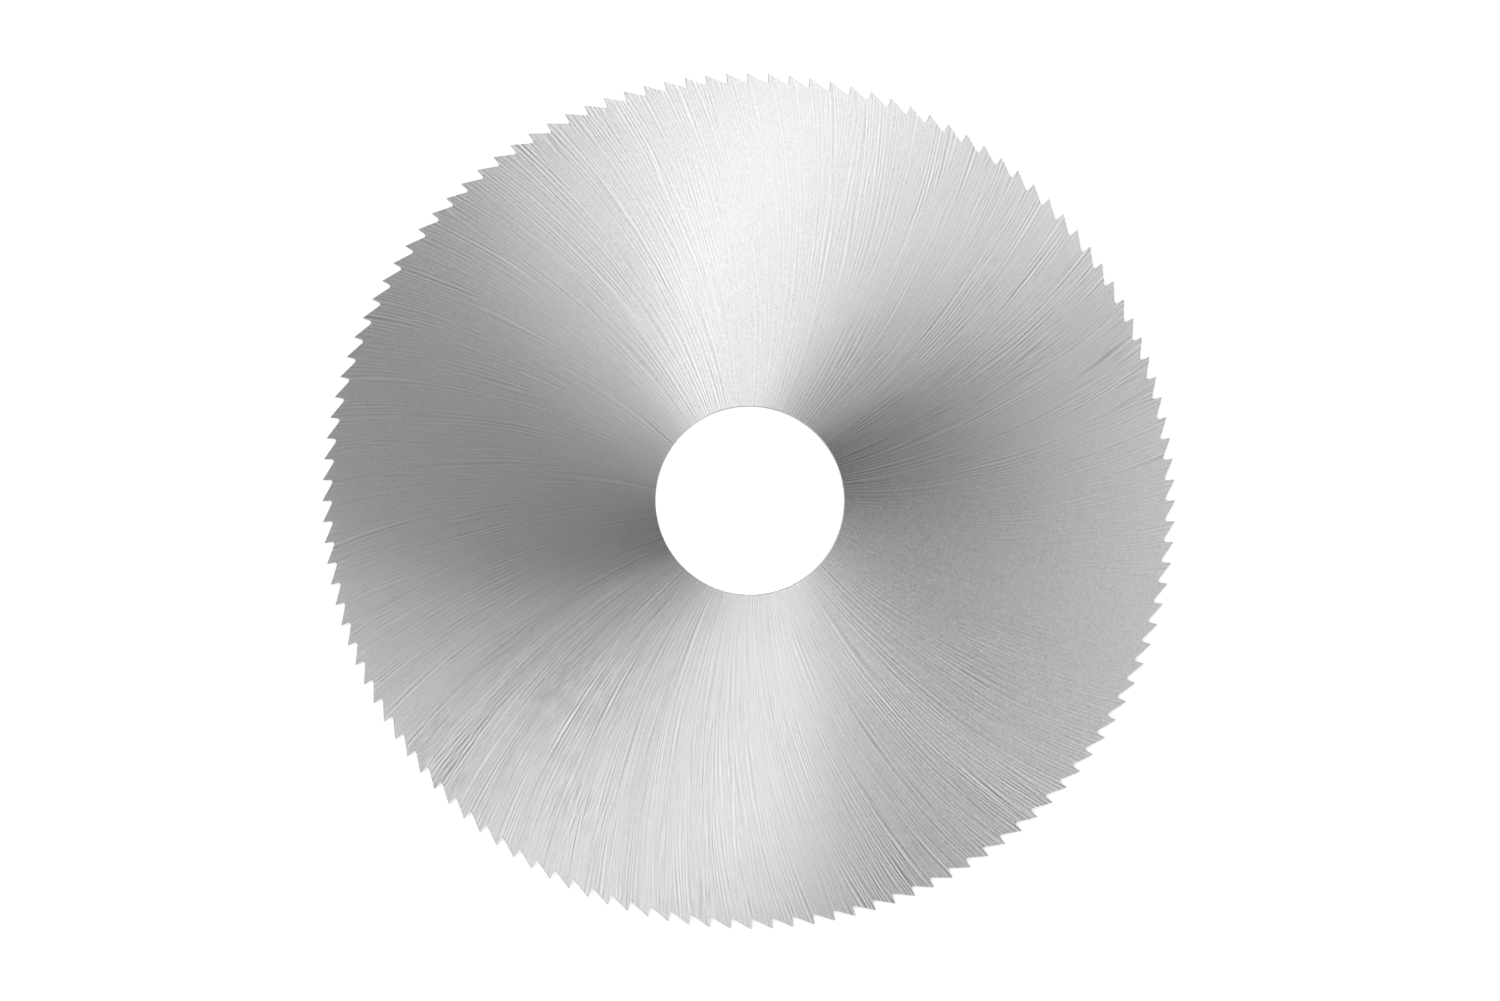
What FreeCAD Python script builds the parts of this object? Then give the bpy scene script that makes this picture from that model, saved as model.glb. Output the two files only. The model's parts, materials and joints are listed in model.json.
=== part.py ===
import FreeCAD, Part
import math
import os

import Sketcher

# Slitting saw: one thin disc of hardened steel, hollow ground on both sides, with an arbor bore
# in the middle and a ring of fine pointed teeth cut into the rim.
#
# The saw lies flat. The origin is on the bore axis, in the plane that the saw rests on,
# +Z runs along the bore and +X passes through the cutting edge of one tooth.
# Seen from +Z the cutting edges point counter-clockwise.

# Name, value and meaning of each driving dimension: millimetres, degrees or a plain count
DIMENSIONS = (
    ("blade_diameter", 100.0, "across the cutting edges"),
    ("rim_thickness", 1.0, "width of the cut, at the cutting edges"),
    ("rim_band", 2.0, "width of the parallel band round the rim, which the teeth are cut into"),
    ("hub_diameter", 40.0, "outside of the flat clamping ring round the bore"),
    ("hub_thickness", 0.9, "thickness of the clamping ring"),
    ("bore_diameter", 22.0, "arbor bore"),
    ("bore_chamfer", 0.1, "edge break at both ends of the bore"),
    ("tooth_count", 128, "teeth round the rim"),
    ("rake_angle", 5.0, "lean of the cutting face, tip forward of the radius"),
    ("gullet_depth", 1.15, "from the cutting edges to the bottom of a gullet"),
    ("gullet_radius", 0.25, "round at the bottom of a gullet"),
)

ORIGIN = (-1, 1)    # the sketch's own origin, as geometry and point of a constraint
X_AXIS = -1
START = 1
END = 2
CENTRE = 3


def make_sheet(doc):
    """Spreadsheet with one row for each driving dimension."""
    sheet = doc.addObject("Spreadsheet::Sheet", "Sizes")
    for row, (name, value, meaning) in enumerate(DIMENSIONS, start=1):
        sheet.set(f"A{row}", name)
        sheet.set(f"B{row}", str(value))
        sheet.set(f"C{row}", meaning)
        sheet.setAlias(f"B{row}", name)
    doc.recompute()
    return sheet


def origin_feature(body, role):
    """Plane or axis of the body's own origin, found by its role."""
    return next(item for item in body.Origin.OriginFeatures if item.Role == role)


def add_sketch(body, name, plane):
    """Empty sketch on one of the body's origin planes."""
    sketch = body.newObject("Sketcher::SketchObject", name)
    sketch.AttachmentSupport = (origin_feature(body, plane), [""])
    sketch.MapMode = "FlatFace"
    return sketch


def drive(sketch, name, expression, kind, *references):
    """Add a dimension to the sketch and tie it to the spreadsheet."""
    value = float(sketch.evalExpression(expression))
    if kind == "Angle":
        value = math.radians(value)
    index = sketch.addConstraint(Sketcher.Constraint(kind, *references, value))
    sketch.renameConstraint(index, name)
    sketch.setExpression(f"Constraints.{name}", expression)


def draw_section(body, sheet):
    """Half section of the blank, in the XZ plane.

    It is parallel at the rim and at the hub. Between them both sides fall away evenly towards
    the thinner hub, so that the body of the saw doesn't rub in the slot that it cuts.
    """
    blade_radius = sheet.blade_diameter / 2
    band_radius = blade_radius - sheet.rim_band
    hub_radius = sheet.hub_diameter / 2
    bore_radius = sheet.bore_diameter / 2
    side_relief = (sheet.rim_thickness - sheet.hub_thickness) / 2
    hub_top = side_relief + sheet.hub_thickness

    corners = [
        FreeCAD.Vector(bore_radius, side_relief, 0),
        FreeCAD.Vector(hub_radius, side_relief, 0),
        FreeCAD.Vector(band_radius, 0, 0),
        FreeCAD.Vector(blade_radius, 0, 0),
        FreeCAD.Vector(blade_radius, sheet.rim_thickness, 0),
        FreeCAD.Vector(band_radius, sheet.rim_thickness, 0),
        FreeCAD.Vector(hub_radius, hub_top, 0),
        FreeCAD.Vector(bore_radius, hub_top, 0),
    ]
    sketch = add_sketch(body, "SectionSketch", "XZ_Plane")
    outline = [
        sketch.addGeometry(Part.LineSegment(first, second))
        for first, second in zip(corners, corners[1:] + corners[:1])
    ]
    hub_under, side_under, band_under, rim, band_top, side_top, hub_upper, bore = outline
    for line, next_line in zip(outline, outline[1:] + outline[:1]):
        sketch.addConstraint(Sketcher.Constraint("Coincident", line, END, next_line, START))
    for line in (hub_under, band_under, band_top, hub_upper):
        sketch.addConstraint(Sketcher.Constraint("Horizontal", line))
    for line in (rim, bore):
        sketch.addConstraint(Sketcher.Constraint("Vertical", line))
    for under, top in ((hub_under, side_top), (side_under, band_top)):
        sketch.addConstraint(Sketcher.Constraint("Vertical", under, END, top, END))
    sketch.addConstraint(Sketcher.Constraint("PointOnObject", rim, START, X_AXIS))

    drive(sketch, "bore_radius", "Sizes.bore_diameter / 2",
          "DistanceX", *ORIGIN, hub_under, START)
    drive(sketch, "hub_radius", "Sizes.hub_diameter / 2",
          "DistanceX", *ORIGIN, hub_under, END)
    drive(sketch, "blade_radius", "Sizes.blade_diameter / 2",
          "DistanceX", *ORIGIN, rim, START)
    drive(sketch, "rim_band", "Sizes.rim_band",
          "DistanceX", band_under, START, band_under, END)
    drive(sketch, "rim_thickness", "Sizes.rim_thickness",
          "DistanceY", rim, START, rim, END)
    drive(sketch, "hub_thickness", "Sizes.hub_thickness",
          "DistanceY", bore, END, bore, START)
    drive(sketch, "side_relief", "(Sizes.rim_thickness - Sizes.hub_thickness) / 2",
          "DistanceY", *ORIGIN, hub_under, START)
    return sketch


def draw_gullet(body, sheet):
    """Outline of one gullet, between the tooth on +X and the next one counter-clockwise.

    The cutting face of the tooth on +X is one flank and the back of the next tooth is the
    other. A round joins them at the bottom. Both flanks run on past the rim, into the open,
    and the back meets the next cutting face in a sharp edge.
    """
    blade_radius = sheet.blade_diameter / 2
    rake = math.radians(sheet.rake_angle)
    pitch_angle = 2 * math.pi / sheet.tooth_count
    round_off = sheet.gullet_radius

    # Starting shape: the constraints below place every point exactly
    face_direction = FreeCAD.Vector(math.cos(rake), math.sin(rake), 0)
    next_tip = FreeCAD.Vector(math.cos(pitch_angle), math.sin(pitch_angle), 0) * blade_radius
    root_sideways = round_off - (sheet.gullet_depth - round_off) * math.tan(rake)
    root = FreeCAD.Vector(blade_radius - sheet.gullet_depth + round_off, root_sideways, 0)
    back_length = (next_tip - root).Length
    back_direction = (next_tip - root).normalize()
    face_foot = root + FreeCAD.Vector(face_direction.y, -face_direction.x, 0) * round_off
    back_foot = root + FreeCAD.Vector(-back_direction.y, back_direction.x, 0) * round_off
    face_end = face_foot + face_direction * 2 * sheet.gullet_depth
    back_end = back_foot + back_direction * 2 * back_length
    back_foot_angle = math.atan2(back_direction.x, -back_direction.y)
    face_foot_angle = rake + 1.5 * math.pi

    sketch = add_sketch(body, "GulletSketch", "XY_Plane")
    circle = Part.Circle(root, FreeCAD.Vector(0, 0, 1), round_off)
    face = sketch.addGeometry(Part.LineSegment(face_foot, face_end))
    bottom = sketch.addGeometry(Part.ArcOfCircle(circle, back_foot_angle, face_foot_angle))
    back = sketch.addGeometry(Part.LineSegment(back_foot, back_end))
    outside = sketch.addGeometry(Part.LineSegment(face_end, back_end))
    tip_point = sketch.addGeometry(Part.Point(FreeCAD.Vector(blade_radius, 0, 0)), True)
    pitch_line = sketch.addGeometry(Part.LineSegment(FreeCAD.Vector(), next_tip), True)

    sketch.addConstraint([
        Sketcher.Constraint("Tangent", face, START, bottom, END),
        Sketcher.Constraint("Tangent", back, START, bottom, START),
        Sketcher.Constraint("Coincident", face, END, outside, START),
        Sketcher.Constraint("Coincident", back, END, outside, END),
        Sketcher.Constraint("PointOnObject", tip_point, START, X_AXIS),
        Sketcher.Constraint("PointOnObject", tip_point, START, face),
        Sketcher.Constraint("Coincident", pitch_line, START, *ORIGIN),
        Sketcher.Constraint("PointOnObject", pitch_line, END, back),
    ])

    drive(sketch, "blade_radius", "Sizes.blade_diameter / 2",
          "DistanceX", *ORIGIN, tip_point, START)
    drive(sketch, "rake_angle", "Sizes.rake_angle",
          "Angle", face)
    drive(sketch, "next_tip_radius", "Sizes.blade_diameter / 2",
          "Distance", pitch_line)
    drive(sketch, "pitch_angle", "360 / Sizes.tooth_count",
          "Angle", pitch_line)
    drive(sketch, "gullet_radius", "Sizes.gullet_radius",
          "Radius", bottom)
    drive(sketch, "root_radius",
          "Sizes.blade_diameter / 2 - Sizes.gullet_depth + Sizes.gullet_radius",
          "Distance", *ORIGIN, bottom, CENTRE)
    for name, point in (("face_end_radius", START), ("back_end_radius", END)):
        drive(sketch, name, "Sizes.blade_diameter / 2 + Sizes.gullet_depth",
              "Distance", *ORIGIN, outside, point)
    return sketch


def bore_edges(shape, bore_radius):
    """Names of the two circles where the bore meets the faces of the hub."""
    return [
        f"Edge{number}"
        for number, edge in enumerate(shape.Edges, start=1)
        if isinstance(edge.Curve, Part.Circle)
        and math.isclose(edge.Curve.Radius, bore_radius, rel_tol=1e-6)
    ]


def make_saw_blade(doc, sheet):
    """The whole saw, as one body: turned blank, bore edges broken, teeth cut all round."""
    body = doc.addObject("PartDesign::Body", "saw_blade")

    section = draw_section(body, sheet)
    blank = body.newObject("PartDesign::Revolution", "Blank")
    blank.Profile = (section, [""])
    blank.ReferenceAxis = (section, ["V_Axis"])
    blank.Angle = 360
    section.Visibility = False
    doc.recompute()

    bore_break = body.newObject("PartDesign::Chamfer", "BoreBreak")
    bore_break.Base = (blank, bore_edges(blank.Shape, sheet.bore_diameter / 2))
    bore_break.setExpression("Size", "Sizes.bore_chamfer")
    doc.recompute()

    outline = draw_gullet(body, sheet)
    gullet = body.newObject("PartDesign::Pocket", "Gullet")
    gullet.Profile = (outline, [""])
    gullet.Type = "ThroughAll"
    gullet.Reversed = True
    outline.Visibility = False
    doc.recompute()
    require_cut(bore_break, gullet)

    teeth = body.newObject("PartDesign::PolarPattern", "Teeth")
    teeth.Originals = [gullet]
    teeth.Axis = (origin_feature(body, "Z_Axis"), [""])
    teeth.Angle = 360
    teeth.setExpression("Occurrences", "Sizes.tooth_count")
    body.Tip = teeth
    doc.recompute()
    require_cut(gullet, teeth)

    body.Label = "saw_blade"
    body.Placement = FreeCAD.Placement()
    return body


def require_cut(before, after):
    """Stop if a cutting feature took nothing away."""
    if after.Shape.Volume >= before.Shape.Volume:
        raise RuntimeError(f"{after.Name} cuts nothing")


def check_document(doc, bodies):
    """Stop if any object failed, or if a body is not one valid solid."""
    for item in doc.Objects:
        if "Invalid" in item.State or "Error" in item.State:
            raise RuntimeError(f"{item.Name} failed: {item.State}")
    for body in bodies:
        shape = body.Shape
        if shape.isNull() or not shape.isValid() or len(shape.Solids) != 1:
            raise RuntimeError(f"{body.Label} is not one valid solid")


def main():
    doc = FreeCAD.newDocument("slitting_saw")
    sheet = make_sheet(doc)
    bodies = [make_saw_blade(doc, sheet)]
    doc.recompute()
    check_document(doc, bodies)

    os.makedirs("parts", exist_ok=True)
    for body in bodies:
        body.Shape.exportStep(f"parts/{body.Label}.step")
        print(body.Label, "volume", round(body.Shape.Volume, 3), "mm3")


main()
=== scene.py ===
import json
import math

import bpy
from mathutils import Matrix, Vector


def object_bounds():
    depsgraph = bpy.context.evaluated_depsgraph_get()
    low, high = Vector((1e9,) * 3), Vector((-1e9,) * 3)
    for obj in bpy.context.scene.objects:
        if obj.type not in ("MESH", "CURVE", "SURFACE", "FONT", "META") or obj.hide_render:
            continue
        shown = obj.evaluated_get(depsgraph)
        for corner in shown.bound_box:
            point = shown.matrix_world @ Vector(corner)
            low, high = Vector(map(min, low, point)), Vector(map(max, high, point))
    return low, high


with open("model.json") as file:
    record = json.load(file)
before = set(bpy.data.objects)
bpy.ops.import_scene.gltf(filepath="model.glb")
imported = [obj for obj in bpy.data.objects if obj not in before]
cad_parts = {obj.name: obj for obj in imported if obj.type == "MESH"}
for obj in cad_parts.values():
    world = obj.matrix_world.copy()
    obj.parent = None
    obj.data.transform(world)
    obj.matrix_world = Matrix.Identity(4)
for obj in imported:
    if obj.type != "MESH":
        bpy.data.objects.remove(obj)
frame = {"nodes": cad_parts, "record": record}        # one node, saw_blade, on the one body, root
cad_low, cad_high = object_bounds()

# Sizes are in metres and angles in degrees. The saw lies on the floor at z = 0, its bore on +Z.

MILLIMETRE = 0.001
SAW = frame["nodes"]["saw_blade"]
BORE = next(m for m in frame["record"]["mounts"] if m["name"] == "arbor_bore")
BORE_RADIUS = BORE["dims"]["r_mm"] * MILLIMETRE
RIM_RADIUS = cad_high.x
FACE_HEIGHT = cad_high.z

# The sides are ground by the rim of a cup wheel, which leaves arcs of its own radius. A larger
# wheel has left arcs that cross them at a small angle.
WHEEL_RADIUS = 80.0 * MILLIMETRE
WHEEL_OFFSET = 81.6 * MILLIMETRE
CROSS_WHEEL = 1.5

# Scratches round the saw. Each layer is whole at its own radius and fades out towards the next
# one, so the scratches stay about 0.4 mm apart. The single ones show where a noise is in a range.
INNER_LINES, INNER_RADIUS = 240, 15.0 * MILLIMETRE
MIDDLE_LINES, MIDDLE_RADIUS = 460, 30.0 * MILLIMETRE
OUTER_LINES, OUTER_RADIUS = 680, 45.0 * MILLIMETRE
CROSS_LINES = 560
BAND_LINES, BAND_LENGTH = 120, 40.0 * MILLIMETRE
SINGLE_LINES, SINGLE_LENGTH = 1800, 7.0 * MILLIMETRE
SINGLE_NOISE = (0.64, 0.78)

# How the scratches wander: changes per scratch, the length of one along it, the shift in radians,
# and the mean and the spread of the heights
WANDER = 0.35
WAVE_LENGTH = 18.0 * MILLIMETRE
PHASE_GAIN = 16.0
MEAN_HEIGHT = 0.7
HEIGHT_GAIN = 8.0

# Tilt of the surface, as the tangent of the angle: on the walls of the scratches, with the broad
# bands as so many times that, on the single scratches and on the grain
SLOPE = 0.18
BAND_GAIN = 1.7
SINGLE_SLOPE = 0.04
SPECKLE = 0.5

# How much lighter or darker the scratches, the single ones and the grain make the grey
SHINE = 0.12
BRIGHT_SINGLE = 0.04
DARK_SINGLE = -0.03
GRAIN_TONE = 0.28

# How strongly the scratches show round the saw, in their grey as painted sheen: the mean, then
# waves as number, height and first peak
MEAN_BITE_AND_SHEEN = 0.90
BITE_AND_SHEEN_WAVES = ((1, 0.189, -126.0), (2, 0.311, 118.0), (3, 0.25, 80.0), (4, 0.367, 142.0))

# Patches in which the wheel bites harder, and in which the crossing arcs come up in a range of
# their noise, and the size of the grain
PATCH_SIZE = 9.0 * MILLIMETRE
PATCH_GAIN, PATCH_BASE = 0.8, 0.6
CROSS_NOISE = (0.40, 0.70)
CROSS_SHARE = 0.8
GRAIN_SIZE = 0.18 * MILLIMETRE

# Marks on the walls: their size level with the floor and upright, on the teeth and in the bore,
# then their height, and the height of the grain on the sides as a share of it
FLANK_MARK = (0.09 * MILLIMETRE, 1.5 * MILLIMETRE)
BORE_MARK = (4.0 * MILLIMETRE, 0.05 * MILLIMETRE)
MARK_HEIGHT = 0.004 * MILLIMETRE
GRAIN_HEIGHT = 0.05

# A face that points up or down by more than this is a side, and one nearer the axis than the
# radius is in the bore
SIDE_FACING = 0.8
BORE_REACH = BORE_RADIUS + 0.5 * MILLIMETRE

# Greys and roughnesses of the sides, at the bore and at the rim, and of the walls
SIDE_GREYS = (0.496, 0.661)
SIDE_ROUGHNESSES = (0.36, 0.41)
# The dark grey of the tooth walls is painted shade, in place of the dark studio they would mirror
FLANK_SHADE_GREY = 0.16
# The lighter grey along the walls' sharp edges, and the width of that band, are a painted
# highlight
EDGE_HIGHLIGHT_GREY = 0.28
EDGE_HIGHLIGHT_WIDTH = 0.06 * MILLIMETRE
BORE_GREY = 0.80
WALL_ROUGHNESS = 0.42

# The camera stands far off, a little to the lower left of straight above the saw
CAMERA_DISTANCE = 2.0
CAMERA_TILT = 5.86
CAMERA_SIDE = 205.0
CAMERA_ROLL = 0.3
FRAME_WIDTH = 175.1 * MILLIMETRE
SENSOR_WIDTH = 36.0

# The studio: the floor's half side, its grey and how much it glows to the camera, then the
# world's strength overhead and the heights between which it fades to that from white
FLOOR_RADIUS = 6.0
FLOOR_GREY = 0.85
FLOOR_LIFT = 0.7
AMBIENT = 0.146
BACKDROP_TOP = 0.10
BACKDROP_FADE = 0.30

# Soft square lamps: name, angle round the saw, angle above the floor, distance, side, power
LAMPS = (
    ("left", 180.0, 70.0, 0.70, 0.315, 1.052),
    ("left_near", 180.0, 80.0, 0.25, 0.1125, 0.0494),
    ("left_back", 135.0, 45.0, 0.35, 0.1575, 0.1129),
    ("right", 15.0, 63.0, 0.25, 0.1125, 0.0577),
    ("right_back", 45.0, 63.0, 0.25, 0.1125, 0.0543),
    ("right_front", 345.0, 63.0, 0.25, 0.1125, 0.0290),
)


class Nodes:
    """Short ways to add and join the nodes of one tree."""

    def __init__(self, tree):
        self.tree = tree
        tree.nodes.clear()

    def add(self, kind, inputs=None, **settings):
        node = self.tree.nodes.new(kind)
        for name, value in settings.items():
            setattr(node, name, value)
        for key, value in (inputs or {}).items():
            self.feed(node.inputs[key], value)
        return node

    def feed(self, socket, value):
        if isinstance(value, bpy.types.NodeSocket):
            self.tree.links.new(value, socket)
        else:
            socket.default_value = value

    def math(self, operation, *values):
        node = self.add("ShaderNodeMath", operation=operation)
        for socket, value in zip(node.inputs, values):
            self.feed(socket, value)
        return node.outputs[0]

    def add_up(self, *terms):
        """Sum of values, each times its own weight."""
        total = None
        for value, weight in terms:
            part = self.math("MULTIPLY", value, weight)
            total = part if total is None else self.math("ADD", total, part)
        return total

    def centred(self, noise, gain):
        """Noise from 0 to 1 as a value that goes both ways from 0."""
        return self.math("MULTIPLY_ADD", noise, gain, -0.5 * gain)

    def vector(self, x, y, z):
        return self.add("ShaderNodeCombineXYZ", {"X": x, "Y": y, "Z": z}).outputs[0]

    def split(self, vector):
        return self.add("ShaderNodeSeparateXYZ", {"Vector": vector}).outputs

    def noise(self, position, scale=1.0, detail=1.0, seed=0.0, output="Fac"):
        """Noise from 0 to 1. The output Color holds three noises that don't follow each other."""
        node = self.add("ShaderNodeTexNoise", {
            "Vector": position, "W": seed, "Scale": scale, "Detail": detail,
        }, noise_dimensions="4D")
        return node.outputs[output]

    def remap(self, value, low, high, new_low, new_high):
        """Straight-line map from one range to another, held at its ends."""
        node = self.add("ShaderNodeMapRange", clamp=True)
        for socket, number in zip(node.inputs, (value, low, high, new_low, new_high)):
            self.feed(socket, number)
        return node.outputs[0]

    def mix(self, factor, first, second, data_type="FLOAT"):
        node = self.add("ShaderNodeMix", data_type=data_type)
        sockets = [s for s in node.inputs if s.enabled]
        for socket, value in zip(sockets, (factor, first, second)):
            self.feed(socket, value)
        return next(s for s in node.outputs if s.enabled)


def new_material(name):
    material = bpy.data.materials.new(name)
    material.use_nodes = True
    return material, Nodes(material.node_tree)


def arc_family(nodes, radius, angle, wheel_radius, wheel_offset):
    """One family of grinding arcs: which arc a point is on, and which way that arc runs there.

    The arcs are circles of the wheel's radius whose centres lie at the wheel's offset all round
    the saw's axis. The first angle is the same along one whole arc. The second is the direction
    of the arc at the point, from the X axis.
    """
    radius_squared = nodes.math("MULTIPLY", radius, radius)
    reach = wheel_offset ** 2 - wheel_radius ** 2
    opposite = nodes.math("DIVIDE", nodes.math("ADD", radius_squared, reach),
                          nodes.math("MULTIPLY", radius, 2 * wheel_offset))
    arc_angle = nodes.math("ADD", angle, nodes.math("ARCCOSINE", opposite))
    lean = nodes.math("DIVIDE", nodes.math("SUBTRACT", radius_squared, reach),
                      nodes.math("MULTIPLY", radius, 2 * wheel_radius))
    direction = nodes.math("ADD", angle, nodes.math("ARCSINE", lean))
    return arc_angle, direction


def arc_noise(nodes, arc_angle, radius, lines_round, length, seed):
    """Three noises drawn out along a family of arcs, with about so many lines round the saw."""
    ring = lines_round / (2 * math.pi)
    position = nodes.vector(
        nodes.math("MULTIPLY", nodes.math("COSINE", arc_angle), ring),
        nodes.math("MULTIPLY", nodes.math("SINE", arc_angle), ring),
        nodes.math("DIVIDE", radius, length),
    )
    return nodes.split(nodes.noise(position, seed=seed, output="Color"))


def arc_waves(nodes, arc_angle, radius, lines_round, seed):
    """Waves across a family of arcs, so many round the saw: even ones, and ones of all heights."""
    wander = arc_noise(nodes, arc_angle, radius, WANDER * lines_round, WAVE_LENGTH, seed)
    phase = nodes.math("MULTIPLY", wander[0], PHASE_GAIN)
    wave = nodes.math("SINE", nodes.math("MULTIPLY_ADD", arc_angle, float(lines_round), phase))
    height = nodes.math("MULTIPLY_ADD", wander[1], HEIGHT_GAIN, MEAN_HEIGHT - 0.5 * HEIGHT_GAIN)
    return wave, nodes.math("MULTIPLY", wave, height)


def bite_and_sheen_round(nodes, x, y):
    """How strongly the scratches show round the saw: in their tilt, and in their grey as painted
    sheen.
    """
    angle = nodes.math("ARCTAN2", y, x)
    bite_and_sheen = MEAN_BITE_AND_SHEEN
    for order, height, peak in BITE_AND_SHEEN_WAVES:
        phase = nodes.math("MULTIPLY_ADD", angle, float(order), -math.radians(peak))
        bite_and_sheen = nodes.math("MULTIPLY_ADD", nodes.math("COSINE", phase), height, bite_and_sheen)
    return bite_and_sheen


def side_scratches(nodes, radius, angle, arc_angle, patches, strength):
    """How far the scratches on the sides tilt the surface, and how they change its grey."""
    cross_angle, _ = arc_family(nodes, radius, angle, CROSS_WHEEL * WHEEL_RADIUS,
                                CROSS_WHEEL * WHEEL_OFFSET)
    inner_share = nodes.remap(radius, INNER_RADIUS, MIDDLE_RADIUS, 1.0, 0.0)
    outer_share = nodes.remap(radius, MIDDLE_RADIUS, OUTER_RADIUS, 0.0, 1.0)
    middle_share = nodes.math("SUBTRACT", 1.0, nodes.math("ADD", inner_share, outer_share))
    cross_share = nodes.remap(patches, *CROSS_NOISE, 0.0, CROSS_SHARE)

    slopes, tones = [], []
    for seed, (family, lines, share) in enumerate((
        (arc_angle, INNER_LINES, inner_share),
        (arc_angle, MIDDLE_LINES, middle_share),
        (arc_angle, OUTER_LINES, outer_share),
        (cross_angle, CROSS_LINES, cross_share),
    ), start=2):
        even, uneven = arc_waves(nodes, family, radius, lines, float(seed))
        slopes.append((even, share))
        tones.append((uneven, share))

    # Broad bands tilt it too, and single deeper scratches stand out as thin lines
    bands = arc_noise(nodes, arc_angle, radius, BAND_LINES, BAND_LENGTH, seed=1.0)
    slopes.append((nodes.centred(bands[0], BAND_GAIN), 1.0))
    single = arc_noise(nodes, arc_angle, radius, SINGLE_LINES, SINGLE_LENGTH, seed=7.0)
    bright_lines = nodes.remap(single[0], *SINGLE_NOISE, 0.0, 1.0)
    dark_lines = nodes.remap(single[1], *SINGLE_NOISE, 0.0, 1.0)

    slope = nodes.math("MULTIPLY", nodes.add_up(*slopes), strength)
    slope = nodes.add_up((slope, SLOPE), (dark_lines, SINGLE_SLOPE))
    tone = nodes.add_up((nodes.add_up(*tones), SHINE), (bright_lines, BRIGHT_SINGLE),
                        (dark_lines, DARK_SINGLE))
    return slope, nodes.math("MULTIPLY", tone, strength)


def wall_marks(nodes, x, y, z, in_bore):
    """Heights of the marks across the tooth walls and of the rings in the bore."""
    marks = []
    for (level, upright), seed in ((FLANK_MARK, 5.0), (BORE_MARK, 6.0)):
        position = nodes.vector(nodes.math("DIVIDE", x, level), nodes.math("DIVIDE", y, level),
                                nodes.math("DIVIDE", z, upright))
        marks.append(nodes.noise(position, detail=3.0, seed=seed))
    return nodes.mix(in_bore, *marks)


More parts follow.
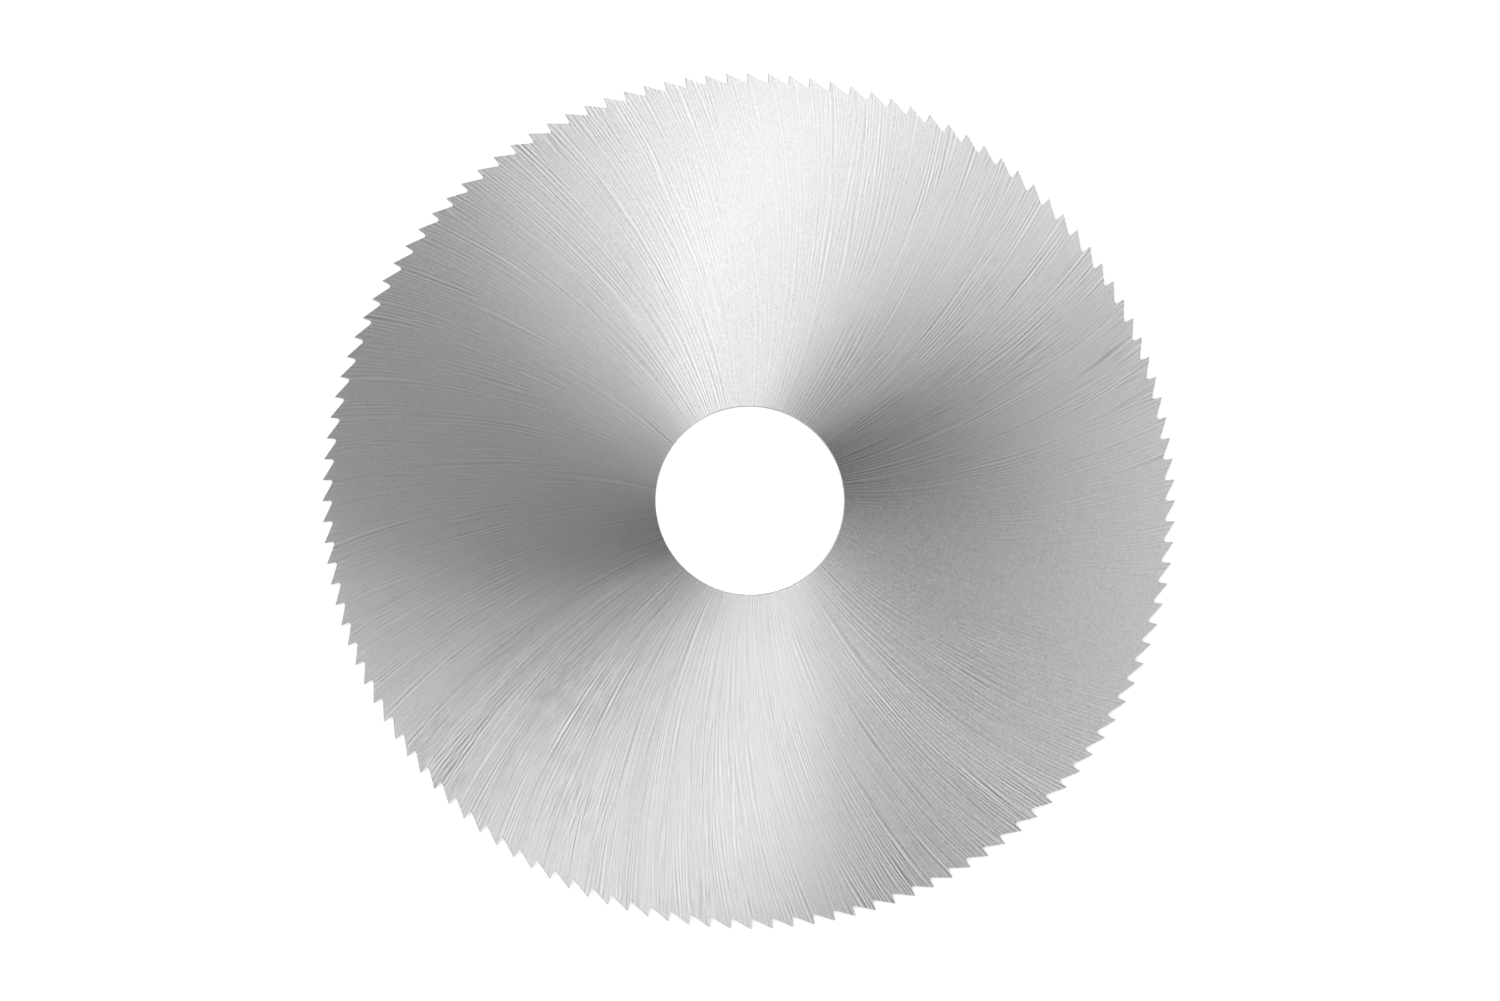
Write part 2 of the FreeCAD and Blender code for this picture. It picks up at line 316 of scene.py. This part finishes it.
def make_ground_steel():
    """Hardened steel as ground: arcs on the sides, marks across the teeth, rings in the bore.

    The anisotropic highlight is drawn out along the tangent, so the tangent is set across the
    grinding lines.
    """
    material, nodes = new_material("brushed_ground_steel")
    place = nodes.add("ShaderNodeTexCoord").outputs["Object"]
    x, y, z = nodes.split(place)
    normal = nodes.add("ShaderNodeNewGeometry").outputs["True Normal"]
    facing = nodes.split(normal)
    radius = nodes.math("SQRT", nodes.math("ADD", nodes.math("MULTIPLY", x, x),
                                           nodes.math("MULTIPLY", y, y)))
    on_side = nodes.math("GREATER_THAN", nodes.math("ABSOLUTE", facing["Z"]), SIDE_FACING)
    in_bore = nodes.math("LESS_THAN", radius, BORE_REACH)

    # Both sides are ground alike, so the pattern underneath is the one on top turned over
    side = nodes.math("SIGN", facing["Z"])
    angle = nodes.math("ARCTAN2", nodes.math("MULTIPLY", y, side), x)
    arc_angle, direction = arc_family(nodes, radius, angle, WHEEL_RADIUS, WHEEL_OFFSET)

    patches = nodes.noise(place, scale=1.0 / PATCH_SIZE, detail=2.0, seed=6.0)
    uneven = nodes.math("MULTIPLY_ADD", patches, PATCH_GAIN, PATCH_BASE)
    # Scratch strength round the saw: in the grey of the lines it is painted sheen, in waves round
    # the axis
    strength = nodes.math("MULTIPLY", bite_and_sheen_round(nodes, x, y), uneven)
    slope, line_tone = side_scratches(nodes, radius, angle, arc_angle, patches, strength)
    grain = nodes.noise(place, scale=1.0 / GRAIN_SIZE, seed=8.0)

    # The tangent: across the arcs on the sides, across the marks on the walls
    side_across = nodes.vector(
        nodes.math("MULTIPLY", nodes.math("SINE", direction), -1.0),
        nodes.math("MULTIPLY", nodes.math("COSINE", direction), side),
        0.0,
    )
    flank_across = nodes.vector(nodes.math("MULTIPLY", facing["Y"], -1.0), facing["X"], 0.0)
    wall_across = nodes.mix(in_bore, flank_across, (0.0, 0.0, 1.0), "VECTOR")
    across = nodes.mix(on_side, wall_across, side_across, "VECTOR")

    # The walls of a scratch tilt the surface across it, and the grain pits it a little
    bump = nodes.add("ShaderNodeBump", {
        "Strength": 1.0,
        "Distance": MARK_HEIGHT,
        "Height": nodes.mix(on_side, wall_marks(nodes, x, y, z, in_bore),
                            nodes.math("MULTIPLY", grain, GRAIN_HEIGHT)),
    })
    tilt = nodes.math("ADD", slope, nodes.centred(grain, SPECKLE))
    tilt = nodes.math("MULTIPLY", tilt, on_side)
    tilted = nodes.add("ShaderNodeVectorMath", {
        0: across, 1: nodes.vector(tilt, tilt, tilt), 2: bump.outputs[0],
    }, operation="MULTIPLY_ADD").outputs[0]
    surface_normal = nodes.add("ShaderNodeVectorMath", {0: tilted},
                               operation="NORMALIZE").outputs[0]

    # Neutral grey, a little lighter and darker along the lines. The walls of the teeth are painted
    # dark as painted shade, and a little lighter along their sharp edges as a painted highlight.
    line_tone = nodes.math("MULTIPLY", line_tone, on_side)
    tone = nodes.math("ADD", nodes.math("ADD", line_tone, 1.0), nodes.centred(grain, GRAIN_TONE))
    # A band along the top and bottom edges of the walls is painted lighter, as a painted highlight
    from_middle = nodes.math("ABSOLUTE", nodes.math("SUBTRACT", z, 0.5 * FACE_HEIGHT))
    edge_highlight = nodes.remap(from_middle, 0.5 * FACE_HEIGHT - EDGE_HIGHLIGHT_WIDTH, 0.5 * FACE_HEIGHT, 0.0, 1.0)
    wall_grey = nodes.mix(in_bore, nodes.mix(edge_highlight, FLANK_SHADE_GREY, EDGE_HIGHLIGHT_GREY), BORE_GREY)
    side_grey = nodes.remap(radius, BORE_RADIUS, RIM_RADIUS, *SIDE_GREYS)
    grey = nodes.math("MULTIPLY", tone, nodes.mix(on_side, wall_grey, side_grey))
    colour = nodes.add("ShaderNodeCombineColor", {"Red": grey, "Green": grey, "Blue": grey})
    side_roughness = nodes.remap(radius, BORE_RADIUS, RIM_RADIUS, *SIDE_ROUGHNESSES)

    shader = nodes.add("ShaderNodeBsdfPrincipled", {
        "Base Color": colour.outputs[0],
        "Metallic": 1.0,
        "Roughness": nodes.mix(on_side, WALL_ROUGHNESS, side_roughness),
        "Anisotropic": 1.0,
        "Tangent": across,
        "Normal": surface_normal,
    })
    nodes.add("ShaderNodeOutputMaterial", {"Surface": shader.outputs[0]})
    return material


def make_floor_material():
    """Matt white. To the camera it is lifted to white, and keeps the saw's soft shadow."""
    material, nodes = new_material("floor_white")
    path = nodes.add("ShaderNodeLightPath").outputs
    seen = nodes.math("MAXIMUM", path["Is Camera Ray"],
                      nodes.math("MAXIMUM", path["Is Glossy Ray"], path["Is Transmission Ray"]))
    matt = nodes.add("ShaderNodeBsdfDiffuse", {"Color": (FLOOR_GREY, FLOOR_GREY, FLOOR_GREY, 1.0)})
    lift = nodes.add("ShaderNodeEmission", {
        "Color": (1.0, 1.0, 1.0, 1.0),
        "Strength": nodes.math("MULTIPLY", seen, FLOOR_LIFT),
    })
    both = nodes.add("ShaderNodeAddShader", {0: matt.outputs[0], 1: lift.outputs[0]})
    nodes.add("ShaderNodeOutputMaterial", {"Surface": both.outputs[0]})
    return material


def make_floor():
    mesh = bpy.data.meshes.new("floor")
    corners = [(-1, -1), (1, -1), (1, 1), (-1, 1)]
    mesh.from_pydata([(a * FLOOR_RADIUS, b * FLOOR_RADIUS, 0.0) for a, b in corners], [],
                     [(0, 1, 2, 3)])
    floor = bpy.data.objects.new("floor", mesh)
    bpy.context.scene.collection.objects.link(floor)
    mesh.materials.append(make_floor_material())


def make_world():
    """White round the horizon, as the backdrop of a studio, and dim overhead."""
    world = bpy.data.worlds.new("studio")
    bpy.context.scene.world = world
    world.use_nodes = True
    nodes = Nodes(world.node_tree)
    height = nodes.split(nodes.add("ShaderNodeTexCoord").outputs["Generated"])["Z"]
    strength = nodes.remap(height, BACKDROP_TOP, BACKDROP_FADE, 1.0, AMBIENT)
    light = nodes.add("ShaderNodeBackground", {"Color": (1.0, 1.0, 1.0, 1.0),
                                               "Strength": strength})
    nodes.add("ShaderNodeOutputWorld", {"Surface": light.outputs[0]})


def direction_from(angle_round, angle_up):
    """Unit vector from the saw towards a place in the studio."""
    level = math.cos(math.radians(angle_up))
    return Vector((
        level * math.cos(math.radians(angle_round)),
        level * math.sin(math.radians(angle_round)),
        math.sin(math.radians(angle_up)),
    ))


def make_lamp(name, angle_round, angle_up, distance, side, power):
    lamp = bpy.data.lights.new(name, "AREA")
    lamp.shape = "SQUARE"
    lamp.size = side
    lamp.energy = power
    towards = direction_from(angle_round, angle_up)
    holder = bpy.data.objects.new(name, lamp)
    holder.location = towards * distance
    holder.rotation_euler = towards.to_track_quat("Z", "Y").to_euler()
    holder.visible_camera = False
    bpy.context.scene.collection.objects.link(holder)


def make_camera():
    """Long lens from almost straight above, with +Y up in the picture."""
    lens = bpy.data.cameras.new("camera")
    lens.sensor_width = SENSOR_WIDTH
    lens.lens = SENSOR_WIDTH * CAMERA_DISTANCE / FRAME_WIDTH
    camera = bpy.data.objects.new("camera", lens)
    back = direction_from(CAMERA_SIDE, 90.0 - CAMERA_TILT)
    right = Vector((0.0, 1.0, 0.0)).cross(back).normalized()
    up = back.cross(right)
    turn = Matrix((right, up, back)).transposed().to_4x4()
    turn @= Matrix.Rotation(math.radians(-CAMERA_ROLL), 4, "Z")
    target = Vector((0.0, 0.0, FACE_HEIGHT))
    camera.matrix_world = Matrix.Translation(target + back * CAMERA_DISTANCE) @ turn
    bpy.context.scene.collection.objects.link(camera)
    bpy.context.scene.camera = camera


def dress_saw():
    SAW.data.materials.clear()
    SAW.data.materials.append(make_ground_steel())


make_camera()
make_world()
make_floor()
for settings in LAMPS:
    make_lamp(*settings)
dress_saw()

bpy.context.scene.view_settings.view_transform = "Standard"
